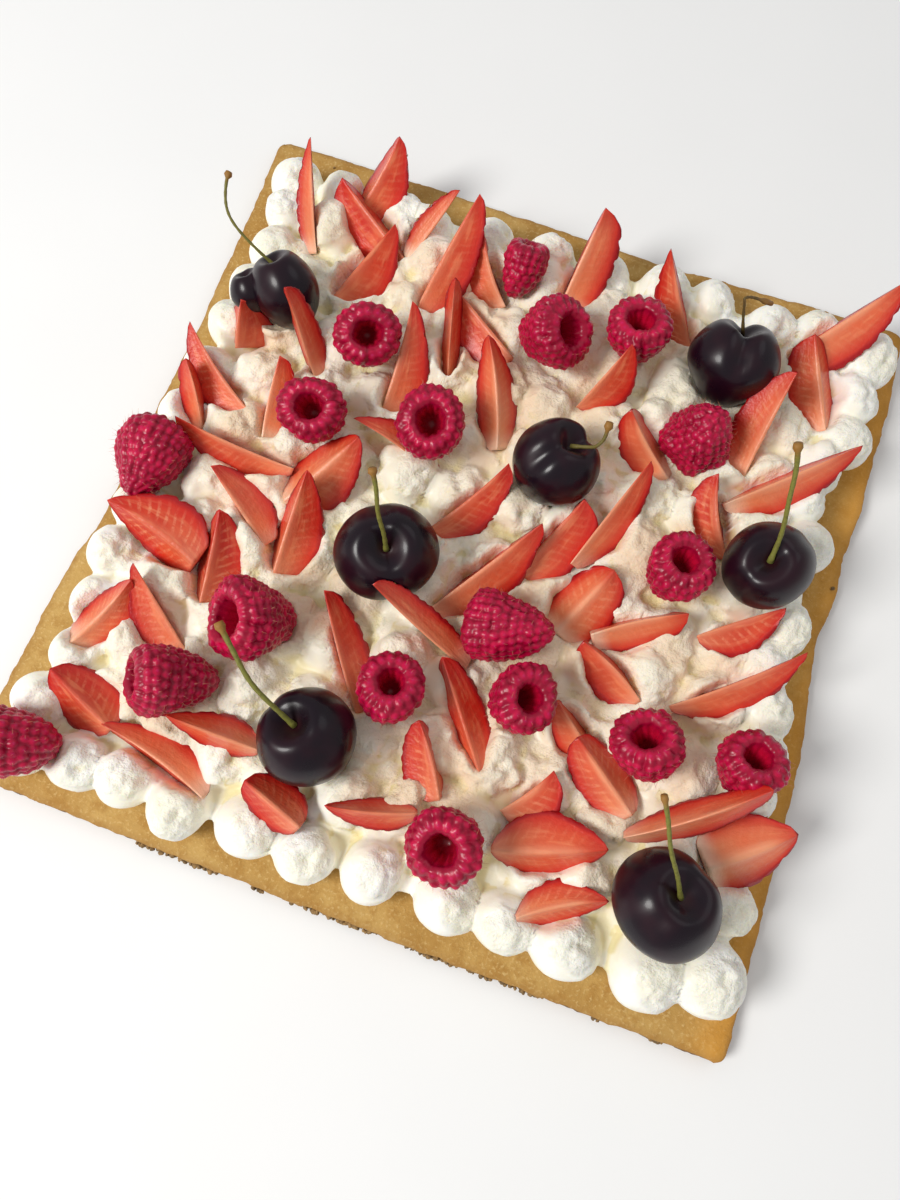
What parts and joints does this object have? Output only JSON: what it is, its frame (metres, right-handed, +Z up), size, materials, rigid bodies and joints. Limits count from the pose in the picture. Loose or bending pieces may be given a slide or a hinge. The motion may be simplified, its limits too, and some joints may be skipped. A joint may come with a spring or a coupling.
{
  "type": "fruit tart",
  "caption": "Rectangular fruit tart: a thin baked pastry sheet under rows of piped cream, topped with raspberries, whole cherries and strawberry slices.",
  "frame": {"origin": "centre of the pastry sheet's underside", "axes": "+Z up, +X to the right along the front edge, +Y to the back edge"},
  "size_m": [0.2178, 0.2258, 0.0612],
  "materials": {
    "baked_pastry": "matt, baked golden",
    "cream": "soft sheen, piped",
    "raspberry": "soft sheen, fine hairs",
    "cherry": "glossy skin",
    "strawberry": "moist cut faces, glossy skin"
  },
  "bodies": {
    "root": {"cherry_1": "cherry", "cherry_2": "cherry", "cherry_3": "cherry", "cherry_4": "cherry", "cherry_5": "cherry", "cherry_6": "cherry", "cherry_7": "cherry", "cream": "cream", "pastry_base": "baked_pastry", "raspberry_01": "raspberry", "raspberry_02": "raspberry", "raspberry_03": "raspberry", "raspberry_04": "raspberry", "raspberry_05": "raspberry", "raspberry_06": "raspberry", "raspberry_07": "raspberry", "raspberry_08": "raspberry", "raspberry_09": "raspberry", "raspberry_10": "raspberry", "raspberry_11": "raspberry", "raspberry_12": "raspberry", "raspberry_13": "raspberry", "raspberry_14": "raspberry", "raspberry_15": "raspberry", "raspberry_16": "raspberry", "raspberry_17": "raspberry", "raspberry_18": "raspberry", "strawberry_01": "strawberry", "strawberry_02": "strawberry", "strawberry_03": "strawberry", "strawberry_04": "strawberry", "strawberry_05": "strawberry", "strawberry_06": "strawberry", "strawberry_07": "strawberry", "strawberry_08": "strawberry", "strawberry_09": "strawberry", "strawberry_10": "strawberry", "strawberry_11": "strawberry", "strawberry_12": "strawberry", "strawberry_13": "strawberry", "strawberry_14": "strawberry", "strawberry_15": "strawberry", "strawberry_16": "strawberry", "strawberry_17": "strawberry", "strawberry_18": "strawberry", "strawberry_19": "strawberry", "strawberry_20": "strawberry", "strawberry_21": "strawberry", "strawberry_22": "strawberry", "strawberry_23": "strawberry", "strawberry_24": "strawberry", "strawberry_25": "strawberry", "strawberry_26": "strawberry", "strawberry_27": "strawberry", "strawberry_28": "strawberry", "strawberry_29": "strawberry", "strawberry_30": "strawberry", "strawberry_31": "strawberry", "strawberry_32": "strawberry", "strawberry_33": "strawberry"}
  },
  "joints": []
}
